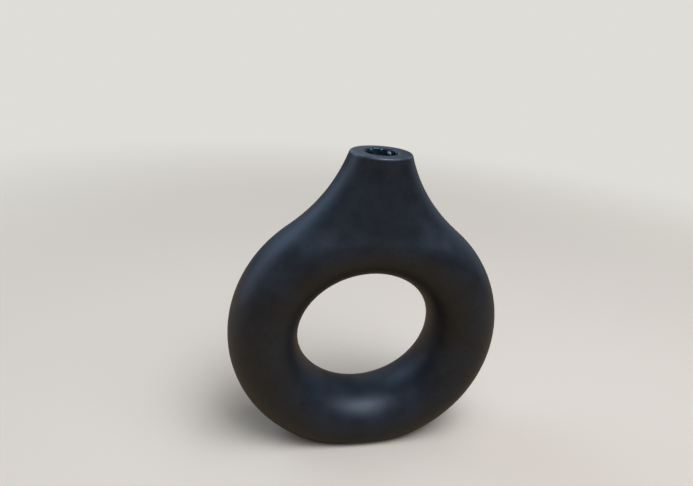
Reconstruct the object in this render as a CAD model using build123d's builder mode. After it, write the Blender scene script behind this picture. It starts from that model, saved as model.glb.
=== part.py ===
from build123d import *

import os
from math import cos, hypot, radians, sin, sqrt, tan

# Driving sizes, in millimetres and degrees. The vase stands at z = 0 with its hole along Y and its mouth up.
overall_height = 165.0  # underside of the felt dots to the flat lip
ring_outer_radius = 74.5  # of the ring seen from the front
ring_height = 65.0  # underside of the felt dots to the middle of the hole
tube_half_width = 18.6  # oval section of the ring's tube, across the ring
tube_half_depth = 22.5  # oval section of the ring's tube, front to back
base_cut = 10.5  # cut off the ring's lowest part for the flat base
shoulder_bearing = 53.1  # where the neck leaves the ring, from the hole's level
mouth_radius = 15.3  # outside of the flat lip
neck_lean = 19.0  # how far the neck's flanks lean in at the lip
bore_radius = 8.0  # finished opening in the lip, inside the glaze
wall_thickness = 5.0  # cast clay
floor_thickness = 6.0  # clay under the hollow
lip_thickness = 5.0  # clay turned in round the opening
rim_round = 1.2  # outer edge of the lip
bore_round = 0.8  # upper edge of the opening
base_round = 4.5  # edge between the ring and the flat base
glaze_thickness = 0.5  # glass coat inside the hollow
pad_radius = 4.0  # felt dots under the base
pad_thickness = 1.0
pad_margin = 1.0  # between a dot and the edge of the flat base
pad_bearing = 50.0  # where the dots stand on the base, from the X axis

# Heights and radii that follow from the driving sizes
base_height = ring_height - ring_outer_radius + base_cut
cavity_floor = base_height + floor_thickness
cavity_top = overall_height - lip_thickness
clay_bore_radius = bore_radius + glaze_thickness
glaze_top = overall_height - bore_round
tube_path_radius = ring_outer_radius - tube_half_width
shoulder_rise = ring_outer_radius * sin(radians(shoulder_bearing))
ring_axis = Axis((0, 0, ring_height), (0, 1, 0))


def oval(plane, half_width, half_depth):
    """Oval face in two halves, front and back, that meet at the sides."""
    with BuildSketch(plane) as sketch:
        with BuildLine():
            EllipticalCenterArc((0, 0), half_width, half_depth, 0, arc_size=180)
            EllipticalCenterArc((0, 0), half_width, half_depth, 180, arc_size=180)
        make_face()
    return sketch.sketch.face()


def vessel_form(inset, floor, top):
    """Solid with the vase's outside moved in by inset, cut flat at floor and at top."""
    ring_radius = ring_outer_radius - inset
    half_width = tube_half_width - inset
    half_depth = tube_half_depth - inset
    lean = radians(neck_lean)
    shoulder_reach = sqrt(ring_radius**2 - shoulder_rise**2)
    top_reach = mouth_radius - inset + (overall_height - top) * tan(lean)
    top_rise = top - ring_height

    # Seen from the front, each flank is a hollow curve that leaves along the ring and comes in at the lean.
    # Its two handles are a third of its chord, and the waist is its midpoint.
    handle = hypot(shoulder_reach - top_reach, top_rise - shoulder_rise) / 3
    inward_turn = shoulder_rise / ring_radius - sin(lean)
    upward_turn = cos(lean) - shoulder_reach / ring_radius
    waist_reach = (shoulder_reach + top_reach) / 2 - handle * inward_turn * 3 / 8
    waist_rise = (shoulder_rise + top_rise) / 2 - handle * upward_turn * 3 / 8

    # Seen from the side, the neck leaves the tube's oval at its own slope and closes in to the lip.
    oval_share = (shoulder_rise - tube_path_radius) / half_width
    shoulder_depth = half_depth * sqrt(1 - oval_share**2)
    side_slope = -half_depth**2 * oval_share / (half_width * shoulder_depth)
    neck_length = overall_height - ring_height - shoulder_rise
    side_curve = (mouth_radius - inset - shoulder_depth - side_slope * neck_length) / neck_length**2

    def neck_oval(reach, rise):
        climb = rise - shoulder_rise
        depth = shoulder_depth + side_slope * climb + side_curve * climb**2
        return oval(Plane.XY.offset(ring_height + rise), reach, depth)

    tube_plane = Plane(origin=(tube_path_radius, 0, ring_height))

    with BuildPart() as form:
        revolve(oval(tube_plane, half_width, half_depth), axis=ring_axis)
        split(bisect_by=Plane.XY.offset(ring_height + shoulder_rise), keep=Keep.BOTTOM)
        crown = form.faces().sort_by(Axis.Z)[-1]
        loft([crown, neck_oval(waist_reach, waist_rise), neck_oval(top_reach, top_rise)])
        split(bisect_by=Plane.XY.offset(floor), keep=Keep.TOP)
    return form.part


# Solids that the clay and the glaze share
outside = vessel_form(0, base_height, overall_height)
cavity = vessel_form(wall_thickness, cavity_floor, cavity_top)
water_space = vessel_form(
    wall_thickness + glaze_thickness, cavity_floor + glaze_thickness, cavity_top - glaze_thickness
)

# Vase body: one hollow casting of ring, shoulders, neck and turned-in lip
with BuildPart() as vase_body:
    add(outside)
    fillet(vase_body.faces().sort_by(Axis.Z)[0].edges(), base_round)
    fillet(vase_body.faces().sort_by(Axis.Z)[-1].edges(), rim_round)
    add(cavity, mode=Mode.SUBTRACT)
    with Locations((0, 0, overall_height)):
        Hole(clay_bore_radius, lip_thickness)
    fillet(vase_body.edges().filter_by(GeomType.CIRCLE).sort_by(Axis.Z)[-1], bore_round)
vase_body.part.label = "vase_body"

# Liner glaze: the glass coat on the whole hollow and through the opening
with BuildPart() as liner_glaze:
    add(cavity)
    with BuildSketch(Plane.XY.offset(cavity_top)):
        Circle(clay_bore_radius)
    extrude(amount=glaze_top - cavity_top)
    add(water_space, mode=Mode.SUBTRACT)
    with Locations((0, 0, glaze_top)):
        Hole(bore_radius, glaze_top - cavity_top + glaze_thickness)
liner_glaze.part.label = "liner_glaze"

# Foot pads: four felt dots on the flat base
base_drop = ring_height - base_height
base_half_length = sqrt(ring_outer_radius**2 - base_drop**2) - base_round - pad_margin - pad_radius
base_oval_share = (base_drop - tube_path_radius) / tube_half_width
base_half_depth = tube_half_depth * sqrt(1 - base_oval_share**2) - base_round - pad_margin - pad_radius
pad_x = base_half_length * cos(radians(pad_bearing))
pad_y = base_half_depth * sin(radians(pad_bearing))
pad_places = {
    "front_left": (-pad_x, -pad_y),
    "front_right": (pad_x, -pad_y),
    "rear_left": (-pad_x, pad_y),
    "rear_right": (pad_x, pad_y),
}
foot_pads = {}
for place, (x, y) in pad_places.items():
    with BuildPart() as foot_pad:
        with BuildSketch(Plane.XY.offset(base_height)):
            with Locations((x, y)):
                Circle(pad_radius)
        extrude(amount=-pad_thickness)
    foot_pad.part.label = f"foot_pad_{place}"
    foot_pads[place] = foot_pad

os.makedirs("parts", exist_ok=True)
export_step(vase_body.part, "parts/vase_body.step")
export_step(liner_glaze.part, "parts/liner_glaze.step")
for place, foot_pad in foot_pads.items():
    export_step(foot_pad.part, f"parts/foot_pad_{place}.step")
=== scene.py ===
import bpy
import math
from mathutils import Matrix, Vector


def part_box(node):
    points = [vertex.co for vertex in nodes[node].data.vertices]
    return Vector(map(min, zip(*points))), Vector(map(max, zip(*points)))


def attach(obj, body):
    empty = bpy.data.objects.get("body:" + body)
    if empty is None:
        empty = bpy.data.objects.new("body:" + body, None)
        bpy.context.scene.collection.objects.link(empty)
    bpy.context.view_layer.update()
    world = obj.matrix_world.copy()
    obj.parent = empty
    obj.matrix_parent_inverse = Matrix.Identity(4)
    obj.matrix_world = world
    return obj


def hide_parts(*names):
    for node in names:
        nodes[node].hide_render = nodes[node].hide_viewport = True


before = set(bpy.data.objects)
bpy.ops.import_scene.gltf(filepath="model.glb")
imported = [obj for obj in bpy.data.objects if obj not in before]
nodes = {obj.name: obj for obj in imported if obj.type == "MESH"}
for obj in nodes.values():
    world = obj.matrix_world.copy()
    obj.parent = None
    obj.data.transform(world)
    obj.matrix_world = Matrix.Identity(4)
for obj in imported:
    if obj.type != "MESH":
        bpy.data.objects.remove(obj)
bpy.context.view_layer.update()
mm = 0.001
print("frame loaded:", sorted(nodes))


# small helpers

def toLinear(hexColour):
    channels = [int(hexColour[i:i + 2], 16) / 255 for i in (1, 3, 5)]
    linear = [c / 12.92 if c <= 0.04045 else ((c + 0.055) / 1.055) ** 2.4 for c in channels]
    return (*linear, 1.0)


def addNode(tree, kind, settings=None, values=None, links=None):
    node = tree.nodes.new(kind)
    for name, value in (settings or {}).items():
        setattr(node, name, value)
    for name, value in (values or {}).items():
        node.inputs[name].default_value = value
    for name, source in (links or {}).items():
        tree.links.new(source, node.inputs[name])
    return node


def newMaterial(name):
    material = bpy.data.materials.new(name)
    material.use_nodes = True
    material.node_tree.nodes.clear()
    return material, material.node_tree


def objectMode():
    if bpy.context.object and bpy.context.object.mode != "OBJECT":
        bpy.ops.object.mode_set(mode="OBJECT")


def deselectAll():
    objectMode()
    bpy.ops.object.select_all(action="DESELECT")


def select(piece):
    deselectAll()
    piece.select_set(True)
    bpy.context.view_layer.objects.active = piece


def pickVerts(piece, test):
    # leaves edit mode open with just those points selected
    objectMode()
    mesh = piece.data
    bpy.ops.object.mode_set(mode="EDIT")
    bpy.ops.mesh.select_mode(type="VERT")
    bpy.ops.mesh.select_all(action="DESELECT")
    bpy.ops.object.mode_set(mode="OBJECT")
    for vert in mesh.vertices:
        vert.select = test(vert.co)
    bpy.ops.object.mode_set(mode="EDIT")


def pickEdges(piece, test):
    # leaves edit mode open with just those edges selected
    objectMode()
    mesh = piece.data
    bpy.ops.object.mode_set(mode="EDIT")
    bpy.ops.mesh.select_mode(type="EDGE")
    bpy.ops.mesh.select_all(action="DESELECT")
    bpy.ops.object.mode_set(mode="OBJECT")
    for edge in mesh.edges:
        a, b = (mesh.vertices[i].co for i in edge.vertices)
        edge.select = test(a, b)
    bpy.ops.object.mode_set(mode="EDIT")


def applyModifier(piece, kind, **settings):
    select(piece)
    modifier = piece.modifiers.new(kind.title(), kind)
    for name, value in settings.items():
        setattr(modifier, name, value)
    bpy.ops.object.modifier_apply(modifier=modifier.name)


def finishPiece(piece, name, body, material, smoothAngle):
    select(piece)
    bpy.ops.object.transform_apply(location=True, rotation=True, scale=True)
    bpy.ops.object.shade_smooth_by_angle(angle=math.radians(smoothAngle))
    piece.name = name
    piece.data.name = name
    piece.data.materials.clear()
    piece.data.materials.append(material)
    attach(piece, body)
    print(name, len(piece.data.polygons), "faces")


# camera, at the photograph's angle
view = {
    "place": (-59.6, -230.5, 213.4),  # mm
    "yaw": 11.265,  # degrees to the right of straight ahead
    "pitch": 22.286,  # degrees down
    "roll": 4.362,
    "focal": 493.19,  # pixels across the picture's width
    "width": 693,
}


def addCamera():
    yaw, pitch, roll = (math.radians(view[k]) for k in ("yaw", "pitch", "roll"))
    ahead = Vector((math.sin(yaw) * math.cos(pitch), math.cos(yaw) * math.cos(pitch), -math.sin(pitch)))
    right = Vector((math.cos(yaw), -math.sin(yaw), 0))
    up = right.cross(ahead)
    rolledRight = right * math.cos(roll) + up * math.sin(roll)
    rolledUp = up * math.cos(roll) - right * math.sin(roll)
    turn = Matrix((rolledRight, rolledUp, -ahead)).transposed().to_4x4()
    camera = bpy.data.cameras.new("camera")
    camera.sensor_fit = "HORIZONTAL"
    camera.sensor_width = 36
    camera.lens = view["focal"] / view["width"] * camera.sensor_width
    camera.clip_start = 0.01
    holder = bpy.data.objects.new("camera", camera)
    bpy.context.scene.collection.objects.link(holder)
    holder.matrix_world = Matrix.Translation(Vector(view["place"]) * mm) @ turn
    bpy.context.scene.camera = holder


addCamera()
print("camera set")


# matt black stoneware: slip-cast clay, stained through and fired without a glaze,
# so it is charcoal rather than black, slightly cloudy, with a wide dull sheen
stoneware = {
    "dark": "#1a1e23",
    "light": "#262b32",
    "speck": "#17191c",  # iron specks and pores
    "wornAndHighlight": "#4e5358",  # rubbed edge of the lip, made paler also as a painted highlight of its sheen
    "cloud": 16,  # mm across one cloud of tone
    "speckle": 2.6,  # mm between specks
    "grain": 0.9,  # mm; real grit is about 0.2, drawn coarser so that it shows
    "roughness": (0.40, 0.52),
    "lip": (163.7, 164.8),  # mm, heights between which the rubbing and the painted highlight come in
    "rim": (13.7, 14.9),  # mm, radii between which it grows towards the outer edge
    "polish": 0.15,  # how much smoother the rubbed edge is
    "pitted": 0.08,  # mm, depth of the grain
}


def makeStoneware():
    material, tree = newMaterial("matt black stoneware")
    place = addNode(tree, "ShaderNodeTexCoord").outputs["Object"]
    cloud = addNode(tree, "ShaderNodeTexNoise", values={
        "Scale": 1 / (stoneware["cloud"] * mm), "Detail": 4.0, "Roughness": 0.6}, links={"Vector": place})
    speckle = addNode(tree, "ShaderNodeTexNoise", values={
        "Scale": 1 / (stoneware["speckle"] * mm), "Detail": 2.0, "Roughness": 0.5}, links={"Vector": place})
    grain = addNode(tree, "ShaderNodeTexNoise", values={
        "Scale": 1 / (stoneware["grain"] * mm), "Detail": 2.0, "Roughness": 0.6}, links={"Vector": place})

    # cloudy clay with a few darker specks
    patches = addNode(tree, "ShaderNodeMapRange", {"interpolation_type": "SMOOTHSTEP"}, values={
        "From Min": 0.3, "From Max": 0.7}, links={"Value": cloud.outputs["Fac"]})
    specks = addNode(tree, "ShaderNodeMapRange", {"interpolation_type": "SMOOTHSTEP"}, values={
        "From Min": 0.56, "From Max": 0.74, "To Max": 0.6}, links={"Value": speckle.outputs["Fac"]})
    clay = addNode(tree, "ShaderNodeMix", {"data_type": "RGBA"}, links={
        "Factor": patches.outputs["Result"]})
    clay.inputs["A"].default_value = toLinear(stoneware["dark"])
    clay.inputs["B"].default_value = toLinear(stoneware["light"])
    tone = addNode(tree, "ShaderNodeMix", {"data_type": "RGBA"}, links={
        "Factor": specks.outputs["Result"], "A": clay.outputs["Result"]})
    tone.inputs["B"].default_value = toLinear(stoneware["speck"])

    # rubbed paler and smoother on the lip, most along its outer edge; the paler colour is partly real wear
    # and partly a painted highlight, where the flat lip and its rounded edge catch the light
    height = addNode(tree, "ShaderNodeSeparateXYZ", links={"Vector": place}).outputs["Z"]
    flat = addNode(tree, "ShaderNodeVectorMath", {"operation": "MULTIPLY"}, links={0: place})
    flat.inputs[1].default_value = (1, 1, 0)
    radius = addNode(tree, "ShaderNodeVectorMath", {"operation": "LENGTH"}, links={
        0: flat.outputs["Vector"]})
    lipStart, lipEnd = (level * mm for level in stoneware["lip"])
    onLip = addNode(tree, "ShaderNodeMapRange", values={
        "From Min": lipStart, "From Max": lipEnd}, links={"Value": height})
    rimStart, rimEnd = (reach * mm for reach in stoneware["rim"])
    onRim = addNode(tree, "ShaderNodeMapRange", values={
        "From Min": rimStart, "From Max": rimEnd, "To Min": 0.25}, links={"Value": radius.outputs["Value"]})
    patchy = addNode(tree, "ShaderNodeMapRange", values={
        "From Min": 0.35, "From Max": 0.65, "To Min": 0.5}, links={"Value": speckle.outputs["Fac"]})
    lipWearAndHighlight = addNode(tree, "ShaderNodeMath", {"operation": "MULTIPLY"}, links={
        0: onLip.outputs["Result"], 1: onRim.outputs["Result"]})
    wearAndHighlight = addNode(tree, "ShaderNodeMath", {"operation": "MULTIPLY"}, links={
        0: lipWearAndHighlight.outputs["Value"], 1: patchy.outputs["Result"]})
    # painted highlight: the lip's top and outer edge are lightened as well as worn
    colour = addNode(tree, "ShaderNodeMix", {"data_type": "RGBA"}, links={
        "Factor": wearAndHighlight.outputs["Value"], "A": tone.outputs["Result"]})
    colour.inputs["B"].default_value = toLinear(stoneware["wornAndHighlight"])

    smoothest, roughest = stoneware["roughness"]
    rough = addNode(tree, "ShaderNodeMapRange", values={
        "From Min": 0.3, "From Max": 0.7, "To Min": smoothest, "To Max": roughest},
        links={"Value": cloud.outputs["Fac"]})
    polish = addNode(tree, "ShaderNodeMath", {"operation": "MULTIPLY_ADD"}, links={
        0: wearAndHighlight.outputs["Value"], 2: rough.outputs["Result"]})
    polish.inputs[1].default_value = -stoneware["polish"]
    bump = addNode(tree, "ShaderNodeBump", values={"Strength": 0.3, "Distance": stoneware["pitted"] * mm},
                   links={"Height": grain.outputs["Fac"]})
    shader = addNode(tree, "ShaderNodeBsdfPrincipled", values={"IOR": 1.5}, links={
        "Base Color": colour.outputs["Result"], "Roughness": polish.outputs["Value"],
        "Normal": bump.outputs["Normal"]})
    addNode(tree, "ShaderNodeOutputMaterial", links={"Surface": shader.outputs["BSDF"]})
    return material


# liner glaze: black glass melted onto the clay, wet-looking and pooled unevenly; its paler blue-teal pools
# are partly uneven tone and partly a painted reflection of cool light
linerGlaze = {
    "dark": "#161c22",
    # the pale tone is partly a painted reflection: blue-teal, as if the glaze mirrored a cool sky
    "light": "#33434f",
    "pool": 4.5,  # mm across one pool
    "ripple": 0.7,  # mm, how far the pools stand out
    "roughness": (0.05, 0.14),
}


def makeLinerGlaze():
    material, tree = newMaterial("gloss black liner glaze")
    place = addNode(tree, "ShaderNodeTexCoord").outputs["Object"]
    pool = addNode(tree, "ShaderNodeTexNoise", values={
        "Scale": 1 / (linerGlaze["pool"] * mm), "Detail": 2.0}, links={"Vector": place})
    # painted reflection: the pools mix towards a pale blue-teal that stands in for reflected cool light
    tone = addNode(tree, "ShaderNodeMix", {"data_type": "RGBA"}, links={"Factor": pool.outputs["Fac"]})
    tone.inputs["A"].default_value = toLinear(linerGlaze["dark"])
    tone.inputs["B"].default_value = toLinear(linerGlaze["light"])
    smoothest, roughest = linerGlaze["roughness"]
    rough = addNode(tree, "ShaderNodeMapRange", values={
        "To Min": smoothest, "To Max": roughest}, links={"Value": pool.outputs["Fac"]})
    bump = addNode(tree, "ShaderNodeBump", values={"Strength": 1.0, "Distance": linerGlaze["ripple"] * mm},
                   links={"Height": pool.outputs["Fac"]})
    shader = addNode(tree, "ShaderNodeBsdfPrincipled", values={"IOR": 1.55}, links={
        "Base Color": tone.outputs["Result"], "Roughness": rough.outputs["Result"],
        "Normal": bump.outputs["Normal"]})
    addNode(tree, "ShaderNodeOutputMaterial", links={"Surface": shader.outputs["BSDF"]})
    return material


# felt: pressed black wool, dull, with pale stray fibres
felt = {"dark": "#1d1c1b", "light": "#34322f", "fibre": 0.4, "nap": 0.2}  # fibre and nap in mm


def makeFelt():
    material, tree = newMaterial("pressed black felt")
    place = addNode(tree, "ShaderNodeTexCoord").outputs["Object"]
    fibre = addNode(tree, "ShaderNodeTexNoise", values={
        "Scale": 1 / (felt["fibre"] * mm), "Detail": 4.0, "Roughness": 0.7, "Distortion": 1.5},
        links={"Vector": place})
    tone = addNode(tree, "ShaderNodeMix", {"data_type": "RGBA"}, links={"Factor": fibre.outputs["Fac"]})
    tone.inputs["A"].default_value = toLinear(felt["dark"])
    tone.inputs["B"].default_value = toLinear(felt["light"])
    bump = addNode(tree, "ShaderNodeBump", values={"Strength": 0.6, "Distance": felt["nap"] * mm},
                   links={"Height": fibre.outputs["Fac"]})
    shader = addNode(tree, "ShaderNodeBsdfPrincipled", values={"IOR": 1.5, "Roughness": 0.95},
                     links={"Base Color": tone.outputs["Result"], "Normal": bump.outputs["Normal"]})
    addNode(tree, "ShaderNodeOutputMaterial", links={"Surface": shader.outputs["BSDF"]})
    return material


stonewareMaterial = makeStoneware()
glazeMaterial = makeLinerGlaze()
feltMaterial = makeFelt()
print("materials made")


# vase body: a ring drawn up into a neck, hollowed to an even wall
vase = {
    "ringHeight": 65.0,  # mm, middle of the hole
    "ringRadius": 55.9,  # middle of the tube
    "tubeHalfWidth": 18.6,
    "tubeHalfDepth": 22.5,
    "aroundRing": 60,
    "aroundTube": 28,
    "merge": 0.9,  # points closer than this become one where the crown is cut
    "baseLevel": 1.0,
    "shoulderLevel": 124.58,
    "neck": (  # height, half width and half depth of each loop drawn up from the shoulder
        (128.0, 40.6, 21.2), (132.0, 36.4, 20.3), (136.5, 32.0, 19.4), (141.5, 27.9, 18.5),
        (147.0, 24.0, 17.6), (152.5, 20.8, 16.8), (158.5, 17.8, 16.0), (165.0, 15.3, 15.3)),
    "lipLoops": (11.2, 9.7, 8.5),  # radii of the loops on the flat lip, the last is the bore
    "rimRound": 1.2,
    "boreRound": 0.8,
    "wall": 5.0,
    "near": 0.1,  # how close a point lies to an edge that it belongs to
}


def fitLoop(piece, halfWidth, halfDepth, level):
    # scales the selected loop to an oval of that size
    bpy.ops.object.mode_set(mode="OBJECT")
    chosen = [v.co for v in piece.data.vertices if v.select]
    reach = max(abs(c.x) for c in chosen)
    depth = max(abs(c.y) for c in chosen)
    bpy.ops.object.mode_set(mode="EDIT")
    bpy.ops.transform.resize(
        value=(halfWidth * mm / reach, halfDepth * mm / depth, 1), center_override=(0, 0, level))


def makeVaseBody():
    deselectAll()
    bpy.ops.mesh.primitive_torus_add(
        major_segments=vase["aroundRing"], minor_segments=vase["aroundTube"],
        major_radius=vase["ringRadius"] * mm, minor_radius=vase["tubeHalfWidth"] * mm,
        location=(0, 0, vase["ringHeight"] * mm), rotation=(math.pi / 2, 0, 0))
    piece = bpy.context.object
    bpy.ops.object.transform_apply(location=True, rotation=True, scale=True)

    # oval tube, flat base, open crown
    bpy.ops.object.mode_set(mode="EDIT")
    bpy.ops.mesh.select_all(action="SELECT")
    stretch = vase["tubeHalfDepth"] / vase["tubeHalfWidth"]
    bpy.ops.transform.resize(value=(1, stretch, 1), center_override=(0, 0, 0))
    crown = vase["shoulderLevel"] * mm
    bpy.ops.mesh.bisect(plane_co=(0, 0, crown), plane_no=(0, 0, 1), clear_outer=True)
    bpy.ops.mesh.select_all(action="SELECT")
    bpy.ops.mesh.remove_doubles(threshold=vase["merge"] * mm)
    base = vase["baseLevel"] * mm
    pickVerts(piece, lambda co: co.z < base)
    bpy.ops.transform.resize(value=(1, 1, 0), center_override=(0, 0, base))

    # neck, one loop after the other from the crown's open edge
    bpy.ops.mesh.select_mode(type="VERT")
    bpy.ops.mesh.select_all(action="DESELECT")
    bpy.ops.mesh.select_non_manifold(
        use_wire=False, use_multi_face=False, use_non_contiguous=False, use_verts=False)
    bpy.ops.transform.resize(value=(1, 1, 0), center_override=(0, 0, crown))
    level = crown
    for height, halfWidth, halfDepth in vase["neck"]:
        bpy.ops.mesh.extrude_edges_move(TRANSFORM_OT_translate={"value": (0, 0, height * mm - level)})
        level = height * mm
        fitLoop(piece, halfWidth, halfDepth, level)
    bpy.ops.transform.tosphere(value=1.0, center_override=(0, 0, level))
    rimRadius = vase["neck"][-1][1]
    fitLoop(piece, rimRadius, rimRadius, level)

    # flat lip, turned in to the bore
    radius = rimRadius
    for lipRadius in vase["lipLoops"]:
        bpy.ops.mesh.extrude_edges_move(TRANSFORM_OT_translate={"value": (0, 0, 0)})
        shrink = lipRadius / radius
        bpy.ops.transform.resize(value=(shrink, shrink, 1), center_override=(0, 0, level))
        radius = lipRadius
    bpy.ops.mesh.select_all(action="SELECT")
    bpy.ops.mesh.normals_make_consistent(inside=False)
    objectMode()

    # even wall all round, then rounded edges on the lip, outside and at the bore
    applyModifier(piece, "SOLIDIFY", thickness=vase["wall"] * mm, offset=-1, use_even_offset=True)
    near = vase["near"] * mm
    for edgeRadius, edgeRound in ((rimRadius, vase["rimRound"]), (radius, vase["boreRound"])):
        pickEdges(piece, lambda a, b: min(a.z, b.z) > level - near
                  and all(abs(p.xy.length - edgeRadius * mm) < near for p in (a, b)))
        bpy.ops.mesh.bevel(offset=edgeRound * mm, segments=3, affect="EDGES")
    objectMode()
    applyModifier(piece, "SUBSURF", levels=2, render_levels=2)
    applyModifier(piece, "SHRINKWRAP", target=nodes["vase_body"], wrap_method="NEAREST_SURFACEPOINT")
    return piece


vasePiece = makeVaseBody()
finishPiece(vasePiece, "vaseBody", "root", stonewareMaterial, 60)
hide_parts("vase_body")


# liner glaze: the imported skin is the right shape
nodes["liner_glaze"].data.materials.clear()
nodes["liner_glaze"].data.materials.append(glazeMaterial)


# glaze bead: the roll of glaze that gathers in the opening's rounded edge, with a few short runs below it
# and one drop that catches the light
bead = {
    "radius": 8.72,  # mm, middle of the roll
    "height": 164.42,
    "thickness": 0.45,  # half of the roll's section
    "wall": 8.0,  # inside of the glazed opening
    "sunk": 0.35,  # how far the middle of a run lies in the wall
    "runTop": 164.75,
    "voxel": 0.13,
    "drop": (  # middle, the way it faces, half sizes
        (5.86, 5.42, 163.3), (-0.024, -0.754, 0.656), (1.6, 1.7, 0.45)),
    "runs": (  # bearing in degrees, half width, how far it stands off the wall, length
        (12, 1.0, 0.3, 2.6), (78, 1.0, 0.3, 2.4), (112, 1.3, 0.4, 3.0), (146, 0.9, 0.3, 2.0),
        (205, 1.2, 0.35, 2.8), (262, 0.9, 0.3, 2.2), (318, 1.1, 0.35, 3.2)),
}


def addBlob(place, turn, halfSizes):
    bpy.ops.mesh.primitive_uv_sphere_add(
        segments=32, ring_count=20, radius=mm, location=place, rotation=turn)
    blob = bpy.context.object
    blob.scale = halfSizes
    return blob


def makeGlazeBead():
    deselectAll()
    bpy.ops.mesh.primitive_torus_add(
        major_segments=72, minor_segments=16, location=(0, 0, bead["height"] * mm),
        major_radius=bead["radius"] * mm, minor_radius=bead["thickness"] * mm)
    piece = bpy.context.object
    blobs = []
    middle = bead["wall"] + bead["sunk"]
    for bearing, halfWidth, standOff, length in bead["runs"]:
        turn = math.radians(bearing)
        height = bead["runTop"] - length / 2
        place = (middle * math.cos(turn) * mm, middle * math.sin(turn) * mm, height * mm)
        blobs.append(addBlob(place, (0, 0, turn), (standOff + bead["sunk"], halfWidth, length / 2)))
    place, facing, halfSizes = bead["drop"]
    tilt = Vector(facing).to_track_quat("Z", "Y").to_euler()
    blobs.append(addBlob(Vector(place) * mm, tilt, halfSizes))
    deselectAll()
    for part in (piece, *blobs):
        part.select_set(True)
    bpy.context.view_layer.objects.active = piece
    bpy.ops.object.join()
    bpy.ops.object.transform_apply(location=True, rotation=True, scale=True)
    applyModifier(piece, "REMESH", mode="VOXEL", voxel_size=bead["voxel"] * mm)
    applyModifier(piece, "SMOOTH", factor=0.5, iterations=4)
    return piece


finishPiece(makeGlazeBead(), "glazeBead", "root", glazeMaterial, 60)


# felt dots: discs with softened edges
dots = {"radius": 4.0, "thickness": 1.0, "edge": 0.25}


def makeFeltDot():
    deselectAll()
    bpy.ops.mesh.primitive_cylinder_add(
        vertices=48, radius=dots["radius"] * mm, depth=dots["thickness"] * mm)
    dot = bpy.context.object
    bpy.ops.object.mode_set(mode="EDIT")
    bpy.ops.mesh.select_all(action="SELECT")
    bpy.ops.mesh.bevel(offset=dots["edge"] * mm, segments=3, affect="EDGES")
    objectMode()
    return dot


firstDot = makeFeltDot()
for place in ("front_left", "front_right", "rear_left", "rear_right"):
    low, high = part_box("foot_pad_" + place)
    dot = firstDot.copy()
    dot.data = firstDot.data.copy()
    bpy.context.scene.collection.objects.link(dot)
    dot.location = (low + high) / 2
    finishPiece(dot, "feltDot_" + place, "root", feltMaterial, 40)
    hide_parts("foot_pad_" + place)
bpy.data.objects.remove(firstDot)


# floor, world and lights
studio = {
    "floor": "#f8dec2",  # pale paper, as the camera sees it
    "bounce": "#bd9870",  # the warmer, darker light that it throws back on the vase
    "background": "#dfddd7",
    "floorSize": 12,  # metres
    "floorDrop": 0.05,  # mm, so that the felt doesn't share its plane
    "worldStrength": 0.08,
    "fadeStart": 0.25,  # metres from the vase, where the floor begins to melt into the background
    "fadeEnd": 0.9,
    "lamps": (  # name, place and size in metres, watts and colour of each soft light, all aimed at the vase
        ("ceiling", (0.25, -0.33, 1.08), 1.1, 10.3, "#cfe2fc"),
        ("bulb", (0.2, -0.3, 1.0), 0.5, 5.0, "#cde1fc"),
        ("window", (-0.78, 0.56, 0.76), 0.7, 3.8, "#b2d2f9"),
        ("lowLeft", (-1.0, 0.3, 0.22), 0.6, 1.5, "#cfe0f8"),
        ("right", (0.9, 0.55, 0.34), 0.8, 0.9, "#cfe1f9"),
        ("back", (-0.1, 1.25, 0.62), 1.0, 1.8, "#d0dff4"),
        ("fill", (-0.66, -0.79, 0.46), 0.8, 0.5, "#d8e5f8")),
    "aim": (0, 0, 0.08),
}


def seenRay(tree):
    # 1 for a ray that shows the surroundings to the camera, 0 for one that lights the vase
    path = addNode(tree, "ShaderNodeLightPath")
    seen = addNode(tree, "ShaderNodeMath", {"operation": "MAXIMUM"}, links={
        0: path.outputs["Is Camera Ray"], 1: path.outputs["Is Transmission Ray"]})
    return seen.outputs["Value"]


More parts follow.
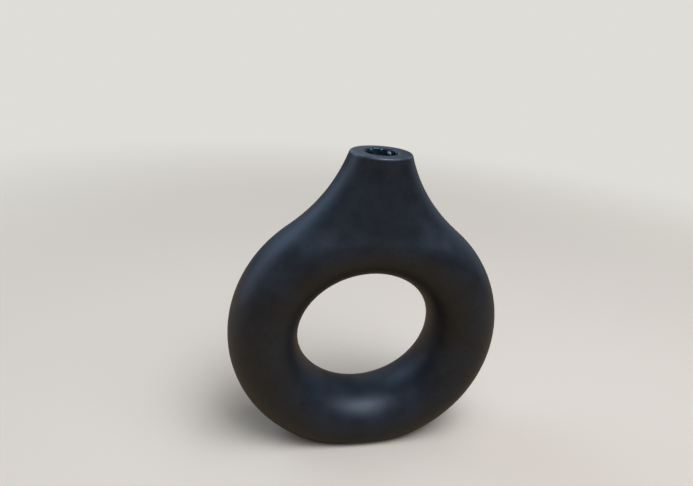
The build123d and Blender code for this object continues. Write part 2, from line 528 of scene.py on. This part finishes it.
def addFloor():
    deselectAll()
    bpy.ops.mesh.primitive_plane_add(size=studio["floorSize"], location=(0, 0, -studio["floorDrop"] * mm))
    floor = bpy.context.object
    floor.name = "floor"
    material, tree = newMaterial("pale paper floor")
    place = addNode(tree, "ShaderNodeTexCoord").outputs["Object"]
    far = addNode(tree, "ShaderNodeVectorMath", {"operation": "LENGTH"}, links={0: place})
    fade = addNode(tree, "ShaderNodeMapRange", {"interpolation_type": "SMOOTHSTEP"}, values={
        "From Min": studio["fadeStart"], "From Max": studio["fadeEnd"]},
        links={"Value": far.outputs["Value"]})
    paper = addNode(tree, "ShaderNodeBsdfDiffuse", values={"Color": toLinear(studio["floor"])})
    haze = addNode(tree, "ShaderNodeEmission", values={
        "Color": toLinear(studio["background"]), "Strength": 1.0})
    seen = addNode(tree, "ShaderNodeMixShader", links={
        0: fade.outputs["Result"], 1: paper.outputs["BSDF"], 2: haze.outputs["Emission"]})
    bounce = addNode(tree, "ShaderNodeBsdfDiffuse", values={"Color": toLinear(studio["bounce"])})
    mix = addNode(tree, "ShaderNodeMixShader", links={
        0: seenRay(tree), 1: bounce.outputs["BSDF"], 2: seen.outputs["Shader"]})
    addNode(tree, "ShaderNodeOutputMaterial", links={"Surface": mix.outputs["Shader"]})
    floor.data.materials.append(material)


def addWorld():
    world = bpy.data.worlds.new("studio")
    bpy.context.scene.world = world
    world.use_nodes = True
    tree = world.node_tree
    tree.nodes.clear()
    pale = toLinear(studio["background"])
    light = addNode(tree, "ShaderNodeBackground", values={
        "Color": pale, "Strength": studio["worldStrength"]})
    shown = addNode(tree, "ShaderNodeBackground", values={"Color": pale, "Strength": 1.0})
    mix = addNode(tree, "ShaderNodeMixShader", links={
        0: seenRay(tree), 1: light.outputs["Background"], 2: shown.outputs["Background"]})
    addNode(tree, "ShaderNodeOutputWorld", links={"Surface": mix.outputs["Shader"]})


def addLamps():
    for name, place, size, watts, colour in studio["lamps"]:
        lamp = bpy.data.lights.new(name, "AREA")
        lamp.shape = "SQUARE"
        lamp.size = size
        lamp.energy = watts
        lamp.color = toLinear(colour)[:3]
        holder = bpy.data.objects.new(name, lamp)
        bpy.context.scene.collection.objects.link(holder)
        holder.location = place
        holder.visible_camera = False
        holder.rotation_euler = (Vector(studio["aim"]) - Vector(place)).to_track_quat("-Z", "Y").to_euler()


addFloor()
addWorld()
addLamps()
bpy.context.scene.view_settings.view_transform = "Standard"
print("studio set")
